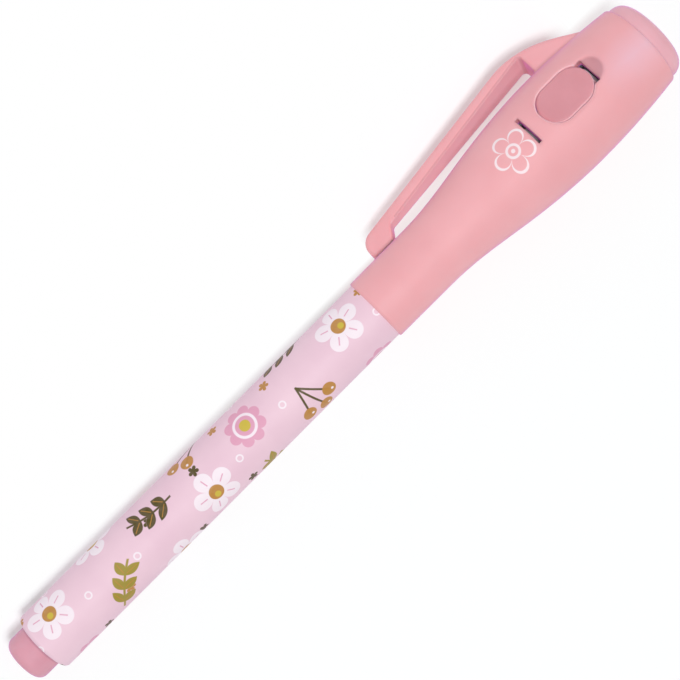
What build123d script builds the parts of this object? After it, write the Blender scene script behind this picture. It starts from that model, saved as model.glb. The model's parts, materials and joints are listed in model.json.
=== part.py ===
# Fibre-tip pen for invisible ink, with an ultraviolet torch in its flared cap.
# The pen's axis is X. The origin lies on it, where the cap's rim meets the barrel's shoulder.
# +X runs to the light end, and +Z is up as the pen lies on a table, leaning on its clip.
from build123d import *
import os

# Fits, as clearances in millimetres
press_gap = 0.03        # pieces pressed or glued together
run_gap = 0.05          # pieces that slide along each other
loose_gap = 0.12        # pieces dropped into a pocket
film_gap = 0.05         # room for the insulating film between two cells
edge_break = 0.25       # small rounded edge of a moulded piece

# Barrel, from its shoulder back to the plug and forward to the nib
barrel_length = 70.45
barrel_radius = 5.1
lip_depth = 0.7         # rounded lip at the rear end
shoulder_step = 0.75    # from the barrel down to the neck that the cap slides on
neck_length = 9.5
neck_wall = 0.9
snap_ridge = 0.03       # how far the ridge stands out of the neck
snap_ridge_x = 6.5
snap_ridge_length = 1.2
seal_step = 1.05        # from the neck down to the ring that the inner cap closes on
seal_length = 4.5
nose_length = 7.0
nose_tip_wall = 0.62
nose_wall = 0.9

# Rear plug
plug_step = 0.2         # how far it overhangs the ink chamber's bore
plug_reach = 4.27       # how far it stands out of the barrel
plug_depth = 6.0        # how far it goes in
plug_corner = 1.4
plug_wall = 1.2
plug_shadow = 0.1       # open ring between the plug and the barrel's lip

# Nib and ink
nib_radius = 1.1
nib_reach = 4.0         # how far it stands out of the nose
nib_tail = 5.0          # how far it goes into the reservoir
nib_point = 0.45        # radius of the rounded point
wrap_wall = 0.12
reservoir_play = 0.18   # between the reservoir and the barrel's bore
reservoir_gap = 0.3     # between the reservoir and the plug
reservoir_inset = 1.5   # the reservoir ends this far behind the neck's end

# Cells, in line along the axis
cell_radius = 3.95
cell_height = 3.6
cell_cap_radius = 2.9
cell_cap_height = 0.5
cell_edge = 0.25

# Contact strip and the diode's leads over the cells
lead_radius = 0.225
lead_clear = 0.2        # between the cells and the long lead
strip_thickness = 0.15
strip_gap = 0.35        # the arm bends this far to touch the long lead
strip_width = 3.0
strip_plate_drop = 2.2  # the plate reaches this far below the axis
strip_overhang = 0.55   # the arm ends this far past the button

# Button and its window
button_from_slit = 7.56
button_length = 9.5
button_width = 6.3
button_sink = 0.68      # its flat face lies this far below the cap's crest
button_edge = 0.35
button_play = 0.38      # between its rim and the strip's arm
button_lip = 0.7        # rim inside the cap that keeps the button in
button_lip_thickness = 0.6
window_gap = 0.08
window_edge = 0.25
notch_length = 0.5      # open gap at the button's light end
notch_width = 4.4
scoop_radius = 2.9      # hollow for the finger beside the notch: its curve along the pen
scoop_side_radius = 4.2  # its curve across the pen
scoop_sweep = 45.0      # half the angle of that one, in degrees
scoop_depth = 1.2       # its floor lies this far below the cap's crest
slit_length = 5.2       # slit that the insulating film was pulled out of
slit_width = 0.6

# Cap, a flared tube with its clip in one piece
rim_wall = 1.0
rim_draft = 0.05
flare_start = 11.0
flare_middle_x = 24.0
flare_middle_radius = 6.84
crest_wall = 2.02       # over the battery bay
crest_from_button = 1.36
end_wall = 1.0
cap_end_edge = 0.45
light_length = 14.34    # from the button's middle to the cap's end
bore_length = 17.0      # straight part of the bore that the neck slides in

# Inner cap
nib_room = 1.24         # in front of the nib
cup_floor = 1.0
skirt_reach = 1.68      # the skirt goes this far past the cup's floor
skirt_rim = 1.0

# Clip
clip_tip_width = 2.2
clip_taper = 0.06       # each side widens by this much per millimetre towards the light
clip_tip_gap = 2.15     # between the clip and the cap's body, at the foot
clip_crest_gap = 2.89   # and over the cap's crest
clip_tip_x = 5.5
clip_sole = 3.9         # length of the foot
clip_foot_length = 5.35  # from the tip to the start of the open gap
clip_shoulder = 3.0     # its highest place lies this far behind the cap's crest
clip_root = 1.9         # end of the open gap, past the crest
clip_bend = 4.55        # a point on the curve down to the body, past the crest
clip_bend_drop = 1.45
clip_end = 11.0         # past the crest
clip_end_fall = 0.7     # slope of the curve where it meets the body
clip_tip_thickness = 1.9
clip_root_thickness = 1.55
clip_nose = 2.3         # radius of the tip's upper corner
clip_heel = 0.75        # radius of its lower corner and of the gap's two ends
clip_edge = 0.32
clip_bury = 1.6         # how far the root runs into the cap's wall
clip_crease = 0.6       # radius between the root and the cap's body
foot_gap = 0.05         # between the foot and the cap's body

# Battery tray
tray_gap = 0.25         # between the tray and the inner cap
tray_wall = 1.1
tray_side_height = 2.4  # top of its sides over the axis
tray_end_wall = 1.2
tray_rib = 1.0
tray_tongue = 3.0       # the part that goes into the light bezel

# Light-emitting diode
led_radius = 2.5
led_length = 8.6
led_flange_radius = 2.9
led_flange_height = 1.0
led_recess = 0.46       # its tip lies this far inside the bezel's face
lead_pitch = 2.54
lead_bend = 0.6
lead_inside = 2.4       # length inside the lens
lead_turn = 3.9         # the long lead turns up this far in front of the cells
lead_tip_back = 3.4     # and ends this far behind the button's middle
cup_radius = 0.75
cup_height = 0.9
chip_size = 0.35

# Light bezel, which closes the cap and holds the diode
bezel_reach = 2.86
bezel_seat = 0.6        # how far it overhangs the battery bay's bore
bezel_corner = 2.2
bezel_crown = 0.35
bezel_spigot = 6.1
bezel_wall = 1.0
bezel_boss_wall = 1.0
well_radius = 3.6       # mouth of the hollow round the diode
well_depth = 2.2

# How the pen lies, in degrees about its axis: the clip's edge and the cap's crest meet the table
lying_roll = 26.6

# Radii of the pen, from outside in
neck_radius = barrel_radius - shoulder_step
seal_radius = neck_radius - seal_step
neck_bore = neck_radius - neck_wall
wrap_radius = neck_bore - press_gap
reservoir_radius = wrap_radius - wrap_wall
barrel_bore = wrap_radius + reservoir_play
plug_radius = barrel_bore + plug_step
plug_bore = plug_radius + plug_shadow
nib_bore = nib_radius + press_gap

# Radii of the cap, from the cells out
cell_pocket = cell_radius + run_gap
lead_rail = cell_radius + lead_clear + lead_radius
strip_arm_bottom = lead_rail + lead_radius + strip_gap
strip_arm_top = strip_arm_bottom + strip_thickness
lip_inner = strip_arm_top + button_play
button_travel = button_play + strip_gap - press_gap
lip_radius = lip_inner + button_lip_thickness
bay_radius = lip_radius + loose_gap
tray_radius = bay_radius - loose_gap
tray_end_radius = lip_inner - button_travel - button_play
spigot_radius = bay_radius - run_gap
spigot_hollow = spigot_radius - bezel_wall
bezel_radius = bay_radius + bezel_seat
led_bore = led_radius + press_gap
boss_radius = led_bore + bezel_boss_wall
cap_bore = neck_radius + run_gap
rim_radius = cap_bore + rim_wall
flare_radius = rim_radius + rim_draft
crest_radius = bay_radius + crest_wall
cap_end_radius = bay_radius + end_wall
button_face = crest_radius - button_sink
cup_bore = seal_radius + run_gap
cup_outer = cap_bore - press_gap
skirt_radius = bay_radius - press_gap

# Places along the axis, from the plug to the light
rear = -barrel_length
nose_start = neck_length + seal_length
nose_end = nose_start + nose_length
nib_tip_x = nose_end + nib_reach
reservoir_rear = rear + plug_depth + reservoir_gap
reservoir_front = neck_length - reservoir_inset
cup_end = nib_tip_x + nib_room
skirt_end = cup_end + cup_floor + skirt_reach
bay_start = skirt_end - skirt_rim
tray_start = skirt_end + tray_gap
strip_plate_x = tray_start + tray_end_wall + run_gap
first_cell_x = strip_plate_x + strip_thickness + run_gap
film_x = first_cell_x + cell_height + film_gap / 2
second_cell_x = film_x + film_gap / 2
third_cell_x = second_cell_x + cell_height
stack_end = third_cell_x + cell_height
button_x = film_x + button_from_slit
button_end_x = button_x + button_length / 2
notch_end = button_end_x + notch_length
crest_x = button_x - crest_from_button
cap_length = button_x + light_length
spigot_start = cap_length - bezel_spigot
tray_front = spigot_start - run_gap
bezel_face_x = cap_length + bezel_reach
led_tip_x = bezel_face_x - led_recess
led_base_x = led_tip_x - led_length
lead_end_x = led_base_x + lead_inside


def turned(*lines):
    return revolve(make_face(lines), Axis.X)


def disc(start, end, radius):
    return turned(Polyline((start, 0), (end, 0), (end, radius), (start, radius), close=True))


def block(start, end, width, bottom, top):
    return Pos((start + end) / 2, 0, (bottom + top) / 2) * Box(end - start, width, top - bottom)


def oval(margin):
    return Pos(button_x, 0) * SlotOverall(button_length + 2 * margin, button_width + 2 * margin)


def lead_along(*corners):
    path = FilletPolyline(*[(x, 0, z) for x, z in corners], radius=lead_bend)
    return sweep(Plane(path @ 0, z_dir=path % 0) * Circle(lead_radius), path)


# The barrel is one moulding: printed tube, neck with its snap ridge, sealing ring and nose.
def make_barrel():
    lip_start = (rear + lip_depth, barrel_radius)
    lip_end = (rear, plug_bore + edge_break)
    ridge_start = (snap_ridge_x - snap_ridge_length / 2, neck_radius)
    ridge_top = (snap_ridge_x, neck_radius + snap_ridge)
    ridge_end = (snap_ridge_x + snap_ridge_length / 2, neck_radius)
    return turned(
        TangentArc(lip_start, lip_end, tangent=(-1, 0)),
        Polyline(lip_start, (0, barrel_radius), (0, neck_radius), ridge_start),
        ThreePointArc(ridge_start, ridge_top, ridge_end),
        Polyline(
            ridge_end,
            (neck_length - edge_break, neck_radius),
            (neck_length, neck_radius - edge_break),
            (neck_length, seal_radius),
            (nose_start, seal_radius),
            (nose_end, nib_bore + nose_tip_wall),
            (nose_end, nib_bore),
            (nose_start, nib_bore),
            (neck_length, seal_radius - nose_wall),
            (reservoir_front + press_gap, neck_bore),
            (0, neck_bore),
            (-neck_wall, barrel_bore),
            (rear + plug_depth, barrel_bore),
            (rear + plug_depth, plug_bore),
            lip_end,
        ),
    )


# The plug is a cup: a rounded end outside and a hollow skirt inside.
def make_rear_plug():
    inner = rear + plug_depth
    head = disc(rear - plug_reach, rear + lip_depth, plug_radius)
    head = fillet(head.edges().sort_by(Axis.X)[0], plug_corner)
    skirt = disc(rear + lip_depth, inner, plug_bore - press_gap)
    return head + skirt - disc(rear, inner, plug_radius - plug_wall)


def make_ink_reservoir():
    tail = disc(reservoir_front - nib_tail, reservoir_front, nib_bore)
    return disc(reservoir_rear, reservoir_front, reservoir_radius) - tail


def make_reservoir_wrap():
    film = disc(reservoir_rear, reservoir_front, wrap_radius)
    return film - disc(reservoir_rear, reservoir_front, reservoir_radius)


# The nib is a round rod of fibre with a bullet point.
def make_fibre_nib():
    start = reservoir_front - nib_tail
    shoulder = (nose_end + nib_reach / 2, nib_radius)
    point = (nib_tip_x - nib_point, nib_point)
    return turned(
        Polyline((nib_tip_x, 0), (start, 0), (start, nib_radius), shoulder),
        TangentArc(shoulder, point, tangent=(1, 0)),
        CenterArc((nib_tip_x - nib_point, 0), nib_point, 0, 90),
    )


# The clip is a side profile cut to a plan that tapers to the tip, with rounded edges.
def make_clip():
    throat = (clip_tip_x + clip_foot_length, flare_radius + clip_tip_gap)
    rise = (crest_radius + clip_crest_gap - throat[1]) / (crest_x - throat[0])

    def inner_face(x, thickness=0):
        return (x, throat[1] + rise * (x - throat[0]) + thickness)

    tip = inner_face(clip_tip_x, clip_tip_thickness)
    shoulder = inner_face(crest_x - clip_shoulder, clip_root_thickness)
    slope = (shoulder[1] - tip[1]) / (shoulder[0] - tip[0])
    bend = (crest_x + clip_bend, shoulder[1] - clip_bend_drop)
    root = inner_face(crest_x + clip_root)
    root_floor = crest_radius - clip_bury
    end = (crest_x + clip_end, root_floor)
    sole = rim_radius + foot_gap
    toe = (clip_tip_x, sole)
    foot_end = (clip_tip_x + clip_sole, sole)
    profile = make_face(
        [
            Polyline(tip, toe, foot_end, throat, root, (root[0], root_floor), end),
            Spline(shoulder, bend, end, tangents=((1, slope), (1, -clip_end_fall))),
            Line(tip, shoulder),
        ]
    )
    for point, radius in ((tip, clip_nose), (toe, clip_heel), (throat, clip_heel), (root, clip_heel)):
        profile = fillet(profile.vertices().sort_by_distance((*point, 0))[0], radius)
    near = clip_tip_width / 2 - clip_taper * clip_tip_x
    far = near + clip_taper * cap_length
    plan = make_face(Polyline((0, near), (cap_length, far), (cap_length, -far), (0, -near), close=True))
    clip = extrude(profile, far, both=True) & extrude(Plane.XZ * plan, 2 * crest_radius, both=True)
    sides = clip.faces().sort_by(Axis.Z)
    edges = sides[0].edges() + sides[-1].edges()
    return fillet(edges.filter_by(lambda edge: abs(edge.center().Y - root_floor) > press_gap), clip_edge)


# The finger's hollow is cut by a spindle that lies across the pen.
def make_scoop():
    centre = (scoop_radius - scoop_side_radius, 0)
    rounding = CenterArc(centre, scoop_side_radius, -scoop_sweep, 2 * scoop_sweep)
    start = rounding @ 0
    end = rounding @ 1
    profile = make_face([rounding, Polyline(end, (0, end.Y), (0, start.Y), start)])
    return revolve(profile, Axis.Y)


# The cap: a turned shell, the clip, the button's window with its notch and scoop, and the slit.
def make_cap_shell():
    outside = turned(
        Polyline((cap_length, cap_end_radius), (cap_length, 0), (0, 0), (0, rim_radius)),
        Line((0, rim_radius), (flare_start, flare_radius)),
        Spline(
            (flare_start, flare_radius),
            (flare_middle_x, flare_middle_radius),
            (crest_x, crest_radius),
            tangents=((1, 0), (1, 0)),
        ),
        TangentArc((crest_x, crest_radius), (cap_length, cap_end_radius), tangent=(1, 0)),
    )
    outside = fillet(outside.edges().filter_by(GeomType.CIRCLE).sort_by(Axis.X)[0], edge_break)
    outside = fillet(outside.edges().filter_by(GeomType.CIRCLE).sort_by(Axis.X)[-1], cap_end_edge)
    inside = turned(
        Polyline(
            (0, 0),
            (0, cap_bore),
            (bore_length, cap_bore),
            (bay_start, bay_radius),
            (cap_length, bay_radius),
            (cap_length, 0),
            close=True,
        )
    )
    clip = make_clip()
    shell = outside + clip
    shell = fillet(new_edges(outside, clip, combined=shell), clip_crease) - inside
    notch = Pos((button_x + notch_end) / 2, 0) * Rectangle(notch_end - button_x, notch_width)
    window = oval(window_gap) + notch
    corners = window.vertices().filter_by(lambda vertex: abs(abs(vertex.Y) - notch_width / 2) < press_gap)
    window = fillet(corners, window_edge)
    shell -= extrude(window, crest_radius)
    rim = shell.edges().filter_by(
        lambda edge: edge.bounding_box().min.Z > bay_radius
        and button_x - button_length < edge.center().X < notch_end + window_gap
        and abs(edge.center().Y) < button_width / 2 + 2 * window_gap
    )
    shell = fillet(rim, window_edge)
    scoop = Pos(notch_end, 0, crest_radius - scoop_depth + scoop_radius) * make_scoop()
    slit = block(film_x - slit_width / 2, film_x + slit_width / 2, slit_length, 0, crest_radius)
    return shell - scoop - slit


# The inner cap is a cup round the nib, with a skirt that wedges in the cap's cone.
def make_inner_cap():
    mouth = neck_length + loose_gap
    wall = cup_outer - cup_bore
    body = turned(
        Polyline(
            (mouth, 0),
            (mouth, cup_outer),
            (bore_length, cup_outer),
            (bay_start, skirt_radius),
            (skirt_end, skirt_radius),
            (skirt_end, 0),
            close=True,
        )
    )
    pocket = turned(
        Polyline(
            (bore_length + wall, cup_outer),
            (bay_start, skirt_radius - wall),
            (skirt_end, skirt_radius - wall),
            (skirt_end, cup_outer),
            close=True,
        )
    )
    return body - pocket - disc(mouth, cup_end, cup_bore) - disc(cup_end + cup_floor, skirt_end, cup_outer)


# The button: a flat oval key over a curved rim that follows the inside of the cap.
def make_push_button():
    key = extrude(oval(0), button_face)
    key = fillet(key.faces().sort_by(Axis.Z)[-1].edges(), button_edge)
    rim = extrude(oval(button_lip), crest_radius) & disc(0, cap_length, lip_radius)
    rim -= block(button_end_x, cap_length, 2 * button_width, 0, crest_radius)
    return key + rim - disc(0, cap_length, lip_inner)


# The bezel: rounded end piece with a spigot, a boss round the diode and a hollow in its face.
def make_light_bezel():
    crown_edge = (bezel_face_x - bezel_crown, bezel_radius)
    crown = ThreePointArc(crown_edge, (bezel_face_x, 0), (crown_edge[0], -bezel_radius)).trim(0, 0.5)
    outline = Polyline(
        (bezel_face_x, 0),
        (spigot_start, 0),
        (spigot_start, spigot_radius),
        (cap_length, spigot_radius),
        (cap_length, bezel_radius),
        crown_edge,
    )
    profile = make_face([outline, crown])
    profile = fillet(profile.vertices().sort_by_distance((*crown_edge, 0))[0], bezel_corner)
    hollow = disc(spigot_start, cap_length, spigot_hollow) - disc(spigot_start, cap_length, boss_radius)
    bore = disc(spigot_start, bezel_face_x, led_bore)
    seat = disc(spigot_start, led_base_x + led_flange_height + press_gap, led_flange_radius + press_gap)
    well_start = bezel_face_x - well_depth
    well = turned(
        Polyline(
            (well_start, 0),
            (well_start, led_bore),
            (bezel_face_x, well_radius),
            (bezel_face_x, 0),
            close=True,
        )
    )
    return revolve(profile, Axis.X) - hollow - bore - seat - well


def make_led_anode_lead():
    high = lead_pitch / 2
    turn = stack_end + lead_turn
    tip = (button_x - lead_tip_back, lead_rail)
    return lead_along((lead_end_x, high), (turn, high), (turn, lead_rail), tip)


# The short lead touches the front cell, and carries the emitter's cup inside the lens.
def make_led_cathode_lead():
    low = -lead_pitch / 2
    touch = stack_end + press_gap + lead_radius
    lead = lead_along((lead_end_x, low), (touch, low), (touch, -low))
    bridge = block(lead_end_x - 2 * lead_radius, lead_end_x, 2 * lead_radius, low, 0)
    return lead + bridge + disc(lead_end_x, lead_end_x + cup_height, cup_radius)


def make_led_chip():
    return Pos(lead_end_x + cup_height + chip_size / 2, 0, 0) * Box(chip_size, chip_size, chip_size)


def make_uv_led():
    dome_start = led_tip_x - led_radius
    lens = turned(
        Polyline((led_tip_x, 0), (led_base_x, 0), (led_base_x, led_radius), (dome_start, led_radius)),
        CenterArc((dome_start, 0), led_radius, 0, 90),
    )
    lens += disc(led_base_x, led_base_x + led_flange_height, led_flange_radius)
    return lens - make_led_anode_lead() - make_led_cathode_lead() - make_led_chip()


# The tray: a ribbed half tube for the cells, end walls, and a tongue into the bezel.
def make_battery_tray():
    tongue_end = spigot_start + tray_tongue
    front_wall = tray_front - tray_end_wall
    rear_wall_end = tray_start + tray_end_wall
    tray = disc(tray_start, tray_front, cell_pocket + tray_wall)
    for x in (tray_start, (tray_start + tray_front - tray_rib) / 2, tray_front - tray_rib):
        tray += disc(x, x + tray_rib, tray_radius)
    tray &= block(tray_start, tray_front, 2 * bay_radius, -bay_radius, tray_side_height)
    tray -= disc(rear_wall_end, front_wall, cell_pocket)
    tray += disc(tray_start, rear_wall_end, tray_end_radius)
    tongue = disc(front_wall, tongue_end, spigot_hollow - loose_gap)
    tongue &= block(front_wall, tongue_end, 2 * bay_radius, -bay_radius, 0)
    tray += tongue - disc(tray_front, tongue_end, boss_radius + loose_gap)
    for z in (lead_pitch / 2, -lead_pitch / 2):
        hole = Rot(0, 90, 0) * Cylinder(lead_radius + loose_gap, 2 * tray_end_wall)
        tray -= Pos(tray_front - tray_end_wall / 2, 0, z) * hole
    return tray - disc(led_base_x - run_gap, tongue_end, led_flange_radius + loose_gap)


# A button cell: a steel can with a smaller raised cap on its front.
def make_button_cell(start):
    can = disc(start, start + cell_height - cell_cap_height, cell_radius)
    can = fillet(can.edges().filter_by(GeomType.CIRCLE), cell_edge)
    return can + disc(start + cell_height / 2, start + cell_height, cell_cap_radius)


# The strip: a plate behind the last cell, bent over into a springy arm under the button.
def make_contact_strip():
    plate_front = strip_plate_x + strip_thickness
    plate = block(strip_plate_x, plate_front, strip_width, -strip_plate_drop, strip_arm_bottom)
    arm_end = button_end_x + strip_overhang
    return plate + block(strip_plate_x, arm_end, strip_width, strip_arm_bottom, strip_arm_top)


pieces = {
    "barrel": make_barrel(),
    "rear_plug": make_rear_plug(),
    "ink_reservoir": make_ink_reservoir(),
    "reservoir_wrap": make_reservoir_wrap(),
    "fibre_nib": make_fibre_nib(),
    "cap_shell": make_cap_shell(),
    "inner_cap": make_inner_cap(),
    "push_button": make_push_button(),
    "light_bezel": make_light_bezel(),
    "uv_led": make_uv_led(),
    "led_anode_lead": make_led_anode_lead(),
    "led_cathode_lead": make_led_cathode_lead(),
    "led_chip": make_led_chip(),
    "battery_tray": make_battery_tray(),
    "contact_strip": make_contact_strip(),
}
for number, start in enumerate((first_cell_x, second_cell_x, third_cell_x), 1):
    pieces[f"button_cell_{number}"] = make_button_cell(start)

os.makedirs("parts", exist_ok=True)
for name, piece in pieces.items():
    export_step(Rot(-lying_roll, 0, 0) * piece, f"parts/{name}.step")
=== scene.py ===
# Looks of a torch-capped ink pen: finishes, barrel print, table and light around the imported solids.
import json
import bpy
import numpy as np
from mathutils import Matrix

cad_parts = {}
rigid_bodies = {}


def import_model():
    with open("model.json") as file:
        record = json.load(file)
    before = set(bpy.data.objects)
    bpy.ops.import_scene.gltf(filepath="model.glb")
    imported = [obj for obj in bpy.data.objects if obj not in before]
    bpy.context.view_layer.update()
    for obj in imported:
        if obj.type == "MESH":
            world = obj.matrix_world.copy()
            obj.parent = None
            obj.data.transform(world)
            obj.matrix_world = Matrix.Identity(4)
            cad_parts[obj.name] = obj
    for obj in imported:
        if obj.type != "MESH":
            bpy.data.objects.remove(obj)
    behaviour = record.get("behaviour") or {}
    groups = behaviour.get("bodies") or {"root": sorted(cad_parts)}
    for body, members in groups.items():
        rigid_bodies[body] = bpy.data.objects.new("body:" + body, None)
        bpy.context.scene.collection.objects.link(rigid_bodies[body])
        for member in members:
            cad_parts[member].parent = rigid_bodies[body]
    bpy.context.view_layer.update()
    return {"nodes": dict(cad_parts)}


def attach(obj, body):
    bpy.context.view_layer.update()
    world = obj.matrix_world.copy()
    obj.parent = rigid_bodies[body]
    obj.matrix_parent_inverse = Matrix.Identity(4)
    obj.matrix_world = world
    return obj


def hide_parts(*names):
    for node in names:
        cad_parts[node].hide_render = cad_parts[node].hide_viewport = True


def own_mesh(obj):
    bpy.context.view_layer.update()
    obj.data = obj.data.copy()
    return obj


for leftover in list(bpy.data.objects):
    bpy.data.objects.remove(leftover)
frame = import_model()
solids = frame["nodes"]
millimetre = 0.001      # in metres, the scene's unit
print("frame:", len(solids), "solids")


# one number or colour socket; operators add the nodes
class Value:
    def __init__(self, finish, socket):
        self.finish = finish
        self.socket = socket

    def math(self, operation, *terms):
        return self.finish.node("Math", {"operation": operation}, dict(enumerate(terms)))

    # 1 below zero, 0 above, over a soft edge of that width
    def inside(self, soft):
        settings = {"operation": "MULTIPLY_ADD", "use_clamp": True}
        return self.finish.node("Math", settings, {0: self, 1: -1 / soft, 2: 0.5})

    # 0 up to the start, 1 from a reach beyond it, straight between
    def climb(self, start, reach):
        return ((self - start) / reach | 0.0) & 1.0

    # a noise or chance, whose mean is one half, spread about a middle value
    def about(self, middle, spread):
        return middle + (self - 0.5) * spread


# & takes the lesser and | the greater of two values
for name, operation in {"add": "ADD", "sub": "SUBTRACT", "mul": "MULTIPLY", "truediv": "DIVIDE",
                        "pow": "POWER", "mod": "FLOORED_MODULO", "and": "MINIMUM", "or": "MAXIMUM"}.items():
    setattr(Value, f"__{name}__", lambda a, b, kind=operation: a.math(kind, a, b))
    setattr(Value, f"__r{name}__", lambda a, b, kind=operation: a.math(kind, b, a))
for name, operation in {"lt": "LESS_THAN", "gt": "GREATER_THAN"}.items():
    setattr(Value, f"__{name}__", lambda a, b, kind=operation: a.math(kind, a, b))
for name, operation in {"sine": "SINE", "cosine": "COSINE", "root": "SQRT", "floor": "FLOOR",
                        "__abs__": "ABSOLUTE"}.items():
    setattr(Value, name, lambda a, kind=operation: a.math(kind, a))


def length(a, b):
    return (a * a + b * b).root()


def angle(a, b):
    return a.math("ARCTAN2", b, a)


def rgb(red, green, blue):          # screen colour, 0 to 255, as a linear one by the sRGB curve
    level = np.array([red, green, blue]) / 255
    linear = np.where(level <= 0.04045, level / 12.92, ((level + 0.055) / 1.055) ** 2.4)
    return (*linear.tolist(), 1.0)


# one material: its shader, its nodes and places on the piece in millimetres
class Finish:
    def __init__(self, name):
        self.material = bpy.data.materials.new(name)
        self.material.use_nodes = True
        self.tree = self.material.node_tree
        self.shader = self.tree.nodes["Principled BSDF"]
        spot = self.node("TexCoord", out="Object")
        self.spot = self.node("VectorMath", {"operation": "SCALE"}, {0: spot, "Scale": 1 / millimetre})
        self.x, self.y, self.z = (self.node("SeparateXYZ", {}, {0: self.spot}, out) for out in range(3))

    # any node: its type, its settings, then its sockets
    def node(self, kind, settings={}, sockets={}, out=0):
        made = self.tree.nodes.new("ShaderNode" + kind)
        for key, value in settings.items():
            setattr(made, key, value)
        for key, value in sockets.items():
            self.feed(made.inputs[key], value)
        return Value(self, made.outputs[out])

    def feed(self, socket, value):
        if isinstance(value, Value):
            self.tree.links.new(value.socket, socket)
        else:
            socket.default_value = value

    def set(self, sockets):
        for key, value in sockets.items():
            self.feed(self.shader.inputs[key], value)

    def blend(self, mask, under, over):      # colour over colour where the mask is 1
        return self.node("Mix", {"data_type": "RGBA"}, {0: mask, 6: under, 7: over}, 2)

    def noise(self, size, detail=2.0, stretch=(1, 1, 1)):      # soft noise with grains of that size in mm
        place = self.spot
        if stretch != (1, 1, 1):
            place = self.node("VectorMath", {"operation": "MULTIPLY"}, {0: place, 1: stretch})
        return self.node("TexNoise", {}, {"Vector": place, "Scale": 1 / size, "Detail": detail})

    def bump(self, height, depth, softEdge=0.0):      # depth and soft edge in mm
        sockets = {"Distance": depth * millimetre, "Height": height}
        if softEdge:
            sockets["Normal"] = self.node("Bevel", {"samples": 8}, {"Radius": softEdge * millimetre})
        self.set({"Normal": self.node("Bump", {}, sockets)})

    def wear(self, *names):
        for name in names:
            solids[name].data.materials.clear()
            solids[name].data.materials.append(self.material)


# moulded plastic: slow clouding of the colour, fine eroded grain in gloss and height
satin = {"cloud": 9.0, "cloudFrom": 0.35, "cloudReach": 1 / 3, "grain": 0.16, "grainDepth": 0.004,
         "rough": 0.52, "roughSpread": 0.14, "ior": 1.49, "specular": 0.3,
         "sheen": 0.75, "sheenRough": 0.27, "sheenTint": (208, 98, 240),
         "scatter": 0.2, "scatterDepth": 1.2, "scatterReach": (1.0, 0.45, 0.45), "softEdge": 0.0}


def moulded(name, look):
    finish = Finish(name)
    cloud = finish.noise(look["cloud"], detail=3.0).climb(look["cloudFrom"], look["cloudReach"])
    speck = finish.noise(look["grain"])
    colour = finish.blend(cloud, rgb(*look["deep"]), rgb(*look["light"]))
    finish.set({
        "Base Color": colour,
        "Roughness": speck.about(look["rough"], look["roughSpread"]),
        "IOR": look["ior"],
        "Specular IOR Level": look["specular"],
        "Sheen Weight": look["sheen"],
        "Sheen Roughness": look["sheenRough"],
        "Sheen Tint": rgb(*look["sheenTint"]),
        "Subsurface Weight": look["scatter"],
        "Subsurface Radius": look["scatterReach"],
        "Subsurface Scale": look["scatterDepth"] * millimetre,
    })
    finish.bump(speck, look["grainDepth"], look["softEdge"])
    return finish, colour


# a flower's edge lies this far out: the heart, and the swing times a power of the lobed cosine
def petals(around, look):
    lobes = abs((around * (look["petals"] / 2)).cosine()) ** look["fullness"]
    return lobes * look["swing"] + look["heart"]


# places round the button: towards the clip, towards the button, and out from the button's outline
keyLook = {"lift": 26.6, "x": 41.805, "half": 1.6, "round": 3.15, "gap": 0.08}
lift = np.radians(keyLook["lift"])


def keyPlan(finish, look):
    across = finish.y * np.cos(lift) - finish.z * np.sin(lift)
    high = finish.y * np.sin(lift) + finish.z * np.cos(lift)
    beside = abs(finish.x - look["x"]) - look["half"] | 0.0
    return across, high, length(beside, across) - look["round"]


# the cap wears one white line daisy between its slit and its rim, on the button's side
capLook = {**satin, "light": (242, 177, 182), "deep": (238, 171, 176), "softEdge": 0.8,
           "crestX": 40.445, "crestRadius": 8.22, "fall": 228.0,
           # painted shade: this darker colour goes in the finger's hollow and on the clip's inner edge
           "grimeAndShade": (203, 143, 150), "hollowX": 48.2, "hollowHalf": 1.8, "hollowHigh": 6.6,
           "hollowDepth": 0.22, "hollowSoft": 0.3, "hollowShade": 0.9,
           # painted light: the pale grey colour lifts the shade on the clip's inner face
           "paintedFill": (236, 190, 196), "clipFrom": 5.0, "fillFacing": -0.4, "fillReach": -0.5,
           # painted shade: the clip's inner edge is darkened over its highlight
           "footX": 12.0, "edgeFacing": -0.5, "edgeHalf": 0.35, "edgeSoft": 0.2, "edgeShade": 0.5,
           # painted highlight: the pale lilac streak near the torch end
           "pale": (237, 190, 204), "highlightX": 46.0, "highlightFade": 6.0,
           "highlightAside": -2.9, "highlightHalf": 1.3, "highlightSoft": 5.0,
           # painted highlight: the pale line round the button's window
           "rimHighlight": (250, 198, 203), "rimWidth": 0.09, "rimSoft": 0.1, "rimHigh": 6.0}
daisyLook = {"x": 30.55, "aside": -0.6, "reach": 3.25, "turn": 0.628, "line": 0.2, "soft": 0.09,
             "petals": 5, "fullness": 0.4, "swing": 0.72, "heart": 0.28, "eye": 0.3, "dot": 0.1,
             "ink": (250, 232, 236), "cover": 0.94}


def lineDaisy(finish, across, look):
    a, b = finish.x - look["x"], across - look["aside"]
    out = length(a, b)
    rim = abs(out - petals(angle(a, b) + look["turn"], look) * look["reach"])
    eye = abs(out - look["eye"] * look["reach"])
    lines = ((rim & eye) - look["line"]).inside(look["soft"])
    return lines | (out - look["dot"] * look["reach"]).inside(look["soft"])


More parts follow.
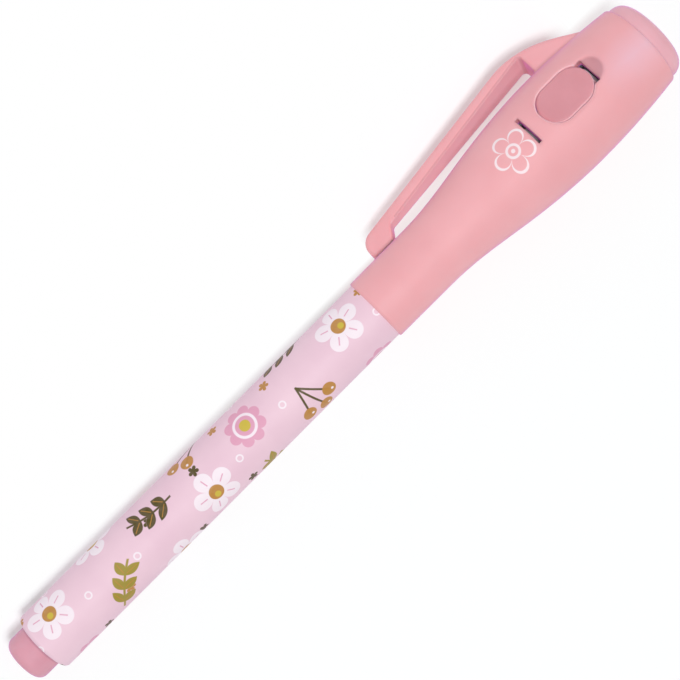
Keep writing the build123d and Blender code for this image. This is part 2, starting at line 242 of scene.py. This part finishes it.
def dressCap(look, mark):
    finish, colour = moulded("cap_plastic", look)
    across, high, beyond = keyPlan(finish, keyLook)

    # painted shade: the finger's hollow, below the turned surface, is coloured darker;
    # the surface falls away from its crest as a parabola along the pen
    skin = look["crestRadius"] - (finish.x - look["crestX"]) ** 2.0 / look["fall"]
    hollow = (length(finish.y, finish.z) - skin + look["hollowDepth"]).inside(look["hollowSoft"])
    hollow = hollow * (abs(finish.x - look["hollowX"]) < look["hollowHalf"]) * (high > look["hollowHigh"])
    colour = finish.blend(hollow * look["hollowShade"], colour, rgb(*look["grimeAndShade"]))

    # painted light: the clip's inner face lies in the cap's shade and is coloured paler and greyer to lift
    # it; painted shade: its inner edge is coloured a little darker over the highlight the overhead lamp lays
    # there
    normal = finish.node("TexCoord", out="Normal")
    toClip = (0, np.cos(lift), -np.sin(lift))
    facing = finish.node("VectorMath", {"operation": "DOT_PRODUCT"}, {0: normal, 1: toClip}, "Value")
    onClip = across > look["clipFrom"]
    inward = facing.climb(look["fillFacing"], look["fillReach"])
    colour = finish.blend(inward * onClip, colour, rgb(*look["paintedFill"]))
    # painted shade over the highlight on the clip's inner edge
    edge = (abs(facing - look["edgeFacing"]) - look["edgeHalf"]).inside(look["edgeSoft"])
    edge = edge * onClip * (finish.x > look["footX"])
    colour = finish.blend(edge * look["edgeShade"], colour, rgb(*look["grimeAndShade"]))

    # painted highlight: towards the torch end, a paler lilac streak along the cap stands for a soft
    # reflection
    pale = finish.x.climb(look["highlightX"], look["highlightFade"])
    streak = (abs(across - look["highlightAside"]) - look["highlightHalf"]).inside(look["highlightSoft"]) * (high > 0.0)
    colour = finish.blend(pale * streak, colour, rgb(*look["pale"]))

    # painted highlight: a pale line round the window's edge, where the edge catches the light, also covering
    # the dark of the gap
    rimLight = abs(beyond - keyLook["gap"] - look["rimWidth"]) - look["rimWidth"]
    rimLight = rimLight.inside(look["rimSoft"]) * (high > look["rimHigh"])
    colour = finish.blend(rimLight, colour, rgb(*look["rimHighlight"]))

    ink = lineDaisy(finish, across, mark) * (high > 0.0) * mark["cover"]
    finish.set({"Base Color": finish.blend(ink, colour, rgb(*mark["ink"]))})
    finish.wear("cap_shell")


dressCap(capLook, daisyLook)

# painted highlight: a pale line round the button's outline, where its edge catches the light
buttonLook = {**satin, "light": (222, 153, 162), "deep": (217, 148, 156), "cloud": 4.0, "rough": 0.5,
              # painted highlight: the pale line round the button's outline
              "rimHighlight": (250, 206, 211), "rimWidth": 0.1, "rimSoft": 0.1}


def dressButton(look):
    finish, colour = moulded("button_plastic", look)
    beyond = keyPlan(finish, keyLook)[2]
    rimLight = (-look["rimWidth"] - beyond).inside(look["rimSoft"])
    finish.set({"Base Color": finish.blend(rimLight, colour, rgb(*look["rimHighlight"]))})
    finish.wear("push_button")


dressButton(buttonLook)

bezelLook = {**satin, "light": (238, 181, 190), "deep": (233, 175, 185), "cloud": 6.0}
moulded("bezel_plastic", bezelLook)[0].wear("light_bezel")

# painted shade: the plug is coloured darker where it meets the barrel's rim
plugLook = {**satin, "light": (222, 161, 176), "deep": (217, 155, 170), "cloud": 4.0,
            # painted shade at the plug's joint with the barrel
            "seamShade": (186, 126, 146), "seamX": -70.75, "seamSoft": 0.5}


def dressPlug(look):
    finish, colour = moulded("plug_plastic", look)
    seamShade = (look["seamX"] - finish.x).inside(look["seamSoft"])
    finish.set({"Base Color": finish.blend(seamShade, colour, rgb(*look["seamShade"]))})
    finish.wear("rear_plug")


dressPlug(plugLook)

linerLook = {**satin, "light": (244, 238, 240), "deep": (238, 230, 233), "cloud": 5.0}
moulded("liner_plastic", linerLook)[0].wear("inner_cap")

trayLook = {**satin, "light": (240, 236, 236), "deep": (232, 227, 228), "cloud": 5.0}
moulded("tray_plastic", trayLook)[0].wear("battery_tray")
print("plastics: done")


# fibre pressed into a rod: fine strands along the pen in colour and height
fibre = {"stretch": (0.06, 1, 1), "strandFrom": 0.3, "strandReach": 0.4, "roughSpread": 0.2, "sheen": 0.2}


def fibrous(name, look):
    finish = Finish(name)
    strand = finish.noise(look["strand"], detail=3.0, stretch=look["stretch"])
    bright = strand.climb(look["strandFrom"], look["strandReach"])
    finish.set({
        "Base Color": finish.blend(bright, rgb(*look["deep"]), rgb(*look["light"])),
        "Roughness": strand.about(look["rough"], look["roughSpread"]),
        "Sheen Weight": look["sheen"],
    })
    finish.bump(strand, look["depth"])
    return finish


nibLook = {**fibre, "light": (247, 244, 238), "deep": (228, 224, 216),
           "strand": 0.09, "rough": 0.75, "depth": 0.03}
fibrous("nib_fibre", nibLook).wear("fibre_nib")

inkLook = {**fibre, "light": (240, 241, 247), "deep": (214, 216, 228),
           "strand": 0.16, "rough": 0.85, "depth": 0.06}
fibrous("ink_fibre", inkLook).wear("ink_reservoir")


# drawn or rolled metal: streaks along the axis with the small stretch, a little grime in colour and gloss
metal = {"grimeAndShade": 1.6, "grimeFrom": 0.35, "grimeReach": 1 / 3, "grimeSpread": 0.12,
         "streakSpread": 0.22, "streakDepth": 0.006, "metallic": 1.0}


def metallic(name, look):
    finish = Finish(name)
    streak = finish.noise(look["streak"], detail=3.0, stretch=look["stretch"])
    grimeAndShade = finish.noise(look["grimeAndShade"], detail=3.0)
    clean = grimeAndShade.climb(look["grimeFrom"], look["grimeReach"])
    colour = finish.blend(clean, rgb(*look["deep"]), rgb(*look["light"]))
    finish.set({
        "Base Color": colour,
        "Metallic": look["metallic"],
        "Roughness": grimeAndShade.about(streak.about(look["rough"], look["streakSpread"]), look["grimeSpread"]),
    })
    finish.bump(streak, look["streakDepth"])
    return finish, colour


wireLook = {**metal, "light": (212, 212, 210), "deep": (188, 187, 184), "rough": 0.28,
            "streak": 0.12, "stretch": (0.2, 1, 1)}
metallic("tinned_wire", wireLook)[0].wear("led_anode_lead", "led_cathode_lead")

stripLook = {**metal, "light": (212, 210, 212), "deep": (196, 194, 196), "rough": 0.4, "metallic": 0.7,
             "streak": 0.14, "stretch": (0.08, 1, 1)}
metallic("spring_steel", stripLook)[0].wear("contact_strip")

# a cell's can, turned streaks round it and a dark sealing ring round the raised cap on its front
cellLook = {**metal, "light": (214, 215, 217), "deep": (190, 191, 194), "rough": 0.26,
            "streak": 0.1, "stretch": (1, 0.15, 0.15),
            "ring": (62, 70, 66), "ringInner": 2.92, "ringOuter": 3.35, "face": 3.05}


def dressCell(node, look):
    finish, steel = metallic("cell_steel", look)
    start = min(corner[0] for corner in solids[node].bound_box) / millimetre
    out = length(finish.y, finish.z)
    ring = (out > look["ringInner"]) * (out < look["ringOuter"]) * (finish.x > start + look["face"])
    finish.set({"Base Color": finish.blend(ring, steel, rgb(*look["ring"])),
                "Metallic": look["metallic"] - ring})
    finish.wear(node)


for number in (1, 2, 3):
    dressCell(f"button_cell_{number}", cellLook)
print("fibres and metals: done")

# clear cast lens with faint flow lines
lensLook = {"clear": (255, 255, 255), "tint": (243, 240, 250), "ior": 1.52, "transmission": 1.0,
            "rough": 0.04, "roughSpread": 0.04, "flow": 0.8, "flowDepth": 0.01}


def dressLens(look):
    finish = Finish("clear_epoxy")
    flow = finish.noise(look["flow"])
    finish.set({
        "Base Color": finish.blend(flow, rgb(*look["clear"]), rgb(*look["tint"])),
        "Roughness": flow.about(look["rough"], look["roughSpread"]),
        "IOR": look["ior"],
        "Transmission Weight": look["transmission"],
    })
    finish.bump(flow, look["flowDepth"])
    finish.wear("uv_led")


dressLens(lensLook)

# the emitter in the lens, speckled
chipLook = {"light": (196, 184, 120), "deep": (120, 108, 150), "speck": 0.12,
            "rough": 0.45, "roughSpread": 0.2}


def dressChip(look):
    finish = Finish("emitter")
    speck = finish.noise(look["speck"])
    finish.set({
        "Base Color": finish.blend(speck, rgb(*look["deep"]), rgb(*look["light"])),
        "Roughness": speck.about(look["rough"], look["roughSpread"]),
    })
    finish.wear("led_chip")


dressChip(chipLook)

# milky film round the ink rod, a little crinkled along the pen
filmLook = {"light": (246, 248, 252), "deep": (226, 230, 238), "transmission": 0.6,
            "rough": 0.22, "roughSpread": 0.2, "crinkle": 1.1, "crinkleDepth": 0.03, "stretch": (0.4, 1, 1)}


def dressFilm(look):
    finish = Finish("clear_film")
    crinkle = finish.noise(look["crinkle"], detail=3.0, stretch=look["stretch"])
    finish.set({
        "Base Color": finish.blend(crinkle, rgb(*look["deep"]), rgb(*look["light"])),
        "Roughness": crinkle.about(look["rough"], look["roughSpread"]),
        "Transmission Weight": look["transmission"],
    })
    finish.bump(crinkle, look["crinkleDepth"])
    finish.wear("reservoir_wrap")


dressFilm(filmLook)
print("lens and film: done")

# the barrel: pale ground with motifs strewn over it, row by row, the neck in the same plastic unprinted
barrelLook = {"ground": (240, 207, 220), "groundDeep": (235, 200, 215), "neck": (243, 222, 230),
              "olive": (84, 74, 22), "ochre": (190, 136, 62), "mustard": (207, 186, 70),
              "white": (248, 236, 243), "mauve": (227, 163, 189),
              "radius": 5.1, "printDepth": 0.45, "printEnd": -0.02, "printSoft": 0.1,
              "cover": 0.97, "coverSpread": 0.16, "coverSize": 0.9,
              "cloud": 7.0, "cloudFrom": 0.35, "cloudReach": 1 / 3, "grain": 0.25, "grainDepth": 0.003,
              "rough": 0.52, "roughSpread": 0.12, "ior": 1.49, "specular": 0.3,
              "sheen": 0.15, "sheenTint": (214, 170, 226)}
sowLook = {"columns": 3, "rowHeight": 10.07, "jitter": 1.5, "seed": 0.0, "chanceShift": 0.0,
           "turn": 5.0, "rowStep": 2.0}
fillLook = {"columns": 6, "rowHeight": 5.035, "jitter": 1.6, "seed": 0.5, "chanceShift": 8.5,
            "turn": 6.0, "share": 0.55, "petals": 5, "fullness": 0.6, "swing": 0.55, "heart": 0.35,
            "ring": 0.5, "ringHalf": 0.12}


# cells of a brick pattern round the barrel: places in each in mm, its number round and along, three chances
def sow(finish, look):
    share = angle(finish.y, finish.z) / (2 * np.pi)
    down = finish.x / -look["rowHeight"] + look["seed"]
    row = down.floor()
    place = share * look["columns"] + row * 0.5
    column = place.floor()
    around = column % look["columns"]
    spot = finish.node("CombineXYZ", {}, {0: around + look["chanceShift"], 1: row, 2: look["seed"]})
    draw = finish.node("TexWhiteNoise", {}, {"Vector": spot}, "Color")
    chance = [finish.node("SeparateColor", {}, {0: draw}, out) for out in range(3)]
    width = 2 * np.pi * barrelLook["radius"] / look["columns"]
    a = chance[0].about((place - column - 0.5) * width, look["jitter"])
    b = chance[1].about((down - row - 0.5) * look["rowHeight"], look["jitter"])
    return a, b, around, row, chance


def turned(a, b, by):
    return a * by.cosine() - b * by.sine(), a * by.sine() + b * by.cosine()


# distance from a straight stroke between two points
def stroke(a, b, start, end):
    alongA, alongB = end[0] - start[0], end[1] - start[1]
    t = (a - start[0]) * alongA + (b - start[1]) * alongB
    t = t.climb(0.0, alongA ** 2 + alongB ** 2)
    return length(a - start[0] - t * alongA, b - start[1] - t * alongB)


# each motif gives its shapes, lowest first, as the distance in mm outside the edge, with their inks;
# first a white daisy with veined petals
daisyPrint = {"petals": 5, "fullness": 0.35, "swing": 2.95, "heart": 0.95,
              "vein": 0.09, "veinFrom": 1.7, "veinTo": 2.95, "eye": 1.2, "glint": 0.5, "glintAt": (0.25, 0.3)}


def daisyMotif(a, b, look):
    out, bearing = length(a, b), angle(a, b)
    lobes = look["petals"] / 2
    vein = abs((bearing * lobes).sine()) * out / lobes - look["vein"]
    return [(out - petals(bearing, look), "white"),
            (vein | look["veinFrom"] - out | out - look["veinTo"], "mauve"),
            (out - look["eye"], "ochre"),
            (length(a - look["glintAt"][0], b - look["glintAt"][1]) - look["glint"], "mustard")]


# mauve blossom with a white ring
blossomPrint = {"petals": 8, "fullness": 0.6, "swing": 0.9, "heart": 2.4,
                "ring": 1.75, "ringHalf": 0.22, "eye": 0.9}


def blossomMotif(a, b, look):
    out = length(a, b)
    return [(out - petals(angle(a, b), look), "mauve"),
            (abs(out - look["ring"]) - look["ringHalf"], "white"),
            (out - look["eye"], "mustard")]


# sprig: a bowed stem with lens-shaped leaves in pairs, slanting at 45 degrees
sprigPrint = {"bow": 0.6, "bowRate": 0.36, "bowShift": 0.35, "stem": 0.17, "stemHalf": 4.1,
              "pairs": 2.3, "pairFrom": 3.2, "pairRise": 0.35,
              "leafAt": 1.2, "leafHalf": 1.4, "leafWidth": 0.74, "leavesAt": 0.25, "leavesHalf": 3.45,
              "vein": 0.06, "veinHalf": 0.9, "veinsHalf": 3.4, "paleEvery": 3.0, "paleFrom": 1.5}


def sprigMotif(a, b, row, look):
    slant = 0.707      # sine of 45 degrees
    beside = abs(a - (b * look["bowRate"]).cosine() * look["bow"] + look["bowShift"])
    step = (b + look["pairFrom"]) % look["pairs"] - look["pairRise"]
    long = (beside + step) * slant - look["leafAt"]
    short = abs((step - beside) * slant)
    leaf = short - look["leafWidth"] * (1.0 - (long / look["leafHalf"]) ** 2.0)
    middle = abs(b - look["leavesAt"])
    sprig = (leaf | middle - look["leavesHalf"]) & (beside - look["stem"] | abs(b) - look["stemHalf"])
    pale = row % look["paleEvery"] > look["paleFrom"]
    vein = short - look["vein"] | abs(long) - look["veinHalf"] | middle - look["veinsHalf"]
    # in pale rows the second shape's distance stops at 0, so its ink covers the first one by half
    return [(sprig, "olive"), (sprig | 1.0 - pale, "mustard"), (vein, "ochre")]


# ochre berries on olive stalks
berryPrint = {"spots": ((0.2, 2.9), (2.4, 1.4), (-2.3, 1.2)), "foot": (0.0, -3.2), "stalk": 0.17,
              "berry": 1.15, "glint": 0.22, "glintAt": (0.35, 0.4)}


def berryMotif(a, b, look):
    shapes = [(stroke(a, b, look["foot"], spot) - look["stalk"], "olive") for spot in look["spots"]]
    for spot in look["spots"]:
        besideA, besideB = a - spot[0], b - spot[1]
        glint = length(besideA - look["glintAt"][0], besideB - look["glintAt"][1])
        shapes.append((length(besideA, besideB) - look["berry"], "ochre"))
        shapes.append((glint - look["glint"], "white"))
    return shapes


# small florets and rings
def fillMotifs(a, b, chance, look):
    out = length(a, b)
    floret = out - petals(angle(a, b) + chance[0] * look["turn"], look)
    return [[(floret, "ochre")], [(abs(out - look["ring"]) - look["ringHalf"], "white")], [(floret, "olive")]]


# masks and inks of motifs, where each shows only in the cells of its own number
def inked(motifs, number, soft):
    return [(distance.inside(soft) * (abs(number - own) < 0.5), ink)
            for own, motif in enumerate(motifs) for distance, ink in motif]


def dressBarrel(look):
    finish = Finish("barrel_print")
    cloud = finish.noise(look["cloud"], detail=3.0).climb(look["cloudFrom"], look["cloudReach"])
    speck = finish.noise(look["grain"])
    cover = finish.noise(look["coverSize"], detail=3.0).about(look["cover"], look["coverSpread"]) & 1.0

    a, b, around, row, chance = sow(finish, sowLook)
    a, b = turned(a, b, chance[2].about(0.0, sowLook["turn"]))
    motifs = [daisyMotif(a, b, daisyPrint), blossomMotif(a, b, blossomPrint),
              sprigMotif(a, b, row, sprigPrint), berryMotif(a, b, berryPrint)]
    layers = inked(motifs, (around + row * sowLook["rowStep"]) % len(motifs), look["printSoft"])

    # the small ones stand only where the others leave the ground empty
    empty = 1.0
    for mask, ink in layers:
        empty = empty * (1.0 - mask)
    a, b, around, row, chance = sow(finish, fillLook)
    empty = empty * (chance[2] < fillLook["share"])
    motifs = fillMotifs(a, b, chance, fillLook)
    small = inked(motifs, (around + row) % len(motifs), look["printSoft"])
    layers = layers + [(mask * empty, ink) for mask, ink in small]

    colour = finish.blend(cloud, rgb(*look["groundDeep"]), rgb(*look["ground"]))
    for mask, ink in layers:
        colour = finish.blend(mask * cover, colour, rgb(*look[ink]))
    outer = length(finish.y, finish.z) > look["radius"] - look["printDepth"]
    printed = outer * (finish.x < look["printEnd"])
    finish.set({
        "Base Color": finish.blend(printed, rgb(*look["neck"]), colour),
        "Roughness": speck.about(look["rough"], look["roughSpread"]),
        "IOR": look["ior"],
        "Specular IOR Level": look["specular"],
        "Sheen Weight": look["sheen"],
        "Sheen Tint": rgb(*look["sheenTint"]),
    })
    finish.bump(speck, look["grainDepth"])
    finish.wear("barrel")


dressBarrel(barrelLook)
print("barrel print: done")


# the strip's arm and the lead below it: copies of the solids on the light module's body,
# which stand in for the solids, now hidden
springLooks = {"contact_strip": {"name": "contact_spring", "slot": "spring_steel", "keep": 0.89},
               "led_anode_lead": {"name": "anode_spring", "slot": "tinned_wire", "keep": 0.956}}


def makeSpring(node, look):
    spring = bpy.data.objects.new(look["name"], solids[node].data.copy())
    bpy.context.scene.collection.objects.link(spring)
    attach(spring, "light_module")
    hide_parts(node)
    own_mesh(spring)


for node, look in springLooks.items():
    makeSpring(node, look)
print("springs: done")


# the pen rests on three points of a plane: at each place x, y of a square,
# the height is that of the cap's touching point plus the lean times the way from it along x
tableLook = {"touchX": 37.85, "touchZ": -8.192, "lean": -0.028645, "reach": 3000.0,
             "colour": (251, 255, 255), "rough": 0.9, "roughSpread": 0.1, "grain": 3.0,
             "own": 0.12, "ownLit": 0.68, "ownBelow": 0.75, "soft": 4.0, "near": 130.0, "fade": 120.0,
             "clipX": 8.0, "clipY": 8.2, "endX": 50.0, "endY": 7.15,
             "brimY": 4.2, "brimLean": 0.0139, "brim": 1.5, "outY": 14.0, "outFade": 8.0}


def makeTable(look):
    x, y = np.meshgrid([-look["reach"], look["reach"]], [-look["reach"], look["reach"]], indexing="ij")
    z = look["touchZ"] + look["lean"] * (x - look["touchX"])
    points = np.stack([x, y, z], axis=-1).reshape(-1, 3) * millimetre
    mesh = bpy.data.meshes.new("table")
    mesh.from_pydata(points.tolist(), [], [(0, 2, 3, 1)])      # one face, looking up
    table = bpy.data.objects.new("table", mesh)
    bpy.context.scene.collection.objects.link(table)
    return table


# seen by the eye, in gloss or through the lens, the table is partly white of its own, so shadows stay faint;
# the white is least on the clip's side, where the shadow falls, and even in the light thrown back at the pen
def dressTable(table, look):
    paper = Finish("table_paper")
    paper.set({"Base Color": rgb(*look["colour"]), "Specular IOR Level": 0.0,
               "Roughness": paper.noise(look["grain"]).about(look["rough"], look["roughSpread"])})
    alongClip = (look["clipX"] - paper.x).inside(look["soft"])
    pastClip = (look["endX"] - paper.x).inside(look["soft"])
    litSide = (paper.y - alongClip * look["clipY"]).inside(look["soft"])
    own = litSide * (look["ownLit"] - look["own"]) + look["own"]

    # far off it is all white, and past the clip's two ends the shadow stops soon beside the pen
    far = length(paper.x, paper.y).climb(look["near"], look["fade"])
    besideBarrel = paper.y.climb(look["brimY"] - paper.x * look["brimLean"], look["brim"])
    far = far | besideBarrel * (1.0 - alongClip)
    far = far | paper.y.climb(look["endY"], look["brim"]) * pastClip
    far = far | paper.y.climb(look["outY"], look["outFade"])
    own = own + far * (1.0 - own)

    camera, glossy, through = (paper.node("LightPath", {}, {}, f"Is {kind} Ray")
                               for kind in ("Camera", "Glossy", "Transmission"))
    own = (camera | glossy | through) * (own - look["ownBelow"]) + look["ownBelow"]
    white = paper.node("Emission", {}, {"Color": (1, 1, 1, 1), "Strength": 1.0})
    lit = Value(paper, paper.shader.outputs[0])
    lifted = paper.node("MixShader", {}, {0: own, 1: lit, 2: white})
    paper.feed(paper.tree.nodes["Material Output"].inputs["Surface"], lifted)
    table.data.materials.append(paper.material)


dressTable(makeTable(tableLook), tableLook)


# places an object with its X, Y and Z along right, up and back, so that a lamp or camera looks away from back
def aim(item, right, up, back, place):
    columns = np.eye(4)
    columns[:3] = np.stack([right, up, back, place], axis=1)
    item.matrix_world = Matrix(columns.tolist())


def unit(vector):
    return vector / np.linalg.norm(vector)


# even light all round, a soft lamp nearly overhead, and a wide cool fill from the clip's side
skyLook = {"strength": 0.46, "colour": (1, 1, 1, 1)}
lampLooks = {
    "softKey": {"watts": 5.0, "size": 0.22, "place": (-0.02, -0.13, 1.0), "colour": (1.0, 1.0, 1.0)},
    "coolFill": {"watts": 3.6, "size": 2.0, "place": (0.0, 1.0, 0.9), "colour": (0.92, 0.91, 1.0)},
}


def makeSky(look):
    world = bpy.data.worlds.new("studio")
    bpy.context.scene.world = world
    world.use_nodes = True
    sky = world.node_tree.nodes["Background"]
    sky.inputs["Strength"].default_value = look["strength"]
    sky.inputs["Color"].default_value = look["colour"]


def makeLamp(name, look):
    data = bpy.data.lights.new(name, "AREA")
    data.energy = look["watts"]
    data.size = look["size"]
    data.color = look["colour"]
    lamp = bpy.data.objects.new(name, data)
    bpy.context.scene.collection.objects.link(lamp)
    back = unit(np.array(look["place"]))
    right = unit(np.cross([1, 0, 0], back))
    aim(lamp, right, np.cross(back, right), back, look["place"])


makeSky(skyLook)
for name, look in lampLooks.items():
    makeLamp(name, look)

# the camera looks down on the pen, a little from the clip's side, and is spun so that the pen lies aslant
cameraLook = {"distance": 300.0, "along": -6.89, "aside": 0.57, "roll": 5.8, "spin": 45.066,
              "lens": 105.94, "sensor": 36.0, "clipEnd": 100.0}


def makeCamera(look):
    roll, spin = np.radians(look["roll"]), np.radians(look["spin"])
    axis = np.array([1.0, 0.0, 0.0])
    back = np.array([0.0, np.sin(roll), np.cos(roll)])
    side = np.cross(back, axis)
    right = np.cos(spin) * axis - np.sin(spin) * side
    up = np.sin(spin) * axis + np.cos(spin) * side
    place = look["along"] * axis + look["aside"] * side + look["distance"] * back
    data = bpy.data.cameras.new("camera")
    data.lens = look["lens"]
    data.sensor_width = look["sensor"]
    data.clip_end = look["clipEnd"]
    camera = bpy.data.objects.new("camera", data)
    bpy.context.scene.collection.objects.link(camera)
    aim(camera, right, up, back, place * millimetre)
    bpy.context.scene.camera = camera


makeCamera(cameraLook)
bpy.context.scene.view_settings.view_transform = "Standard"
print("table, light and camera: done")
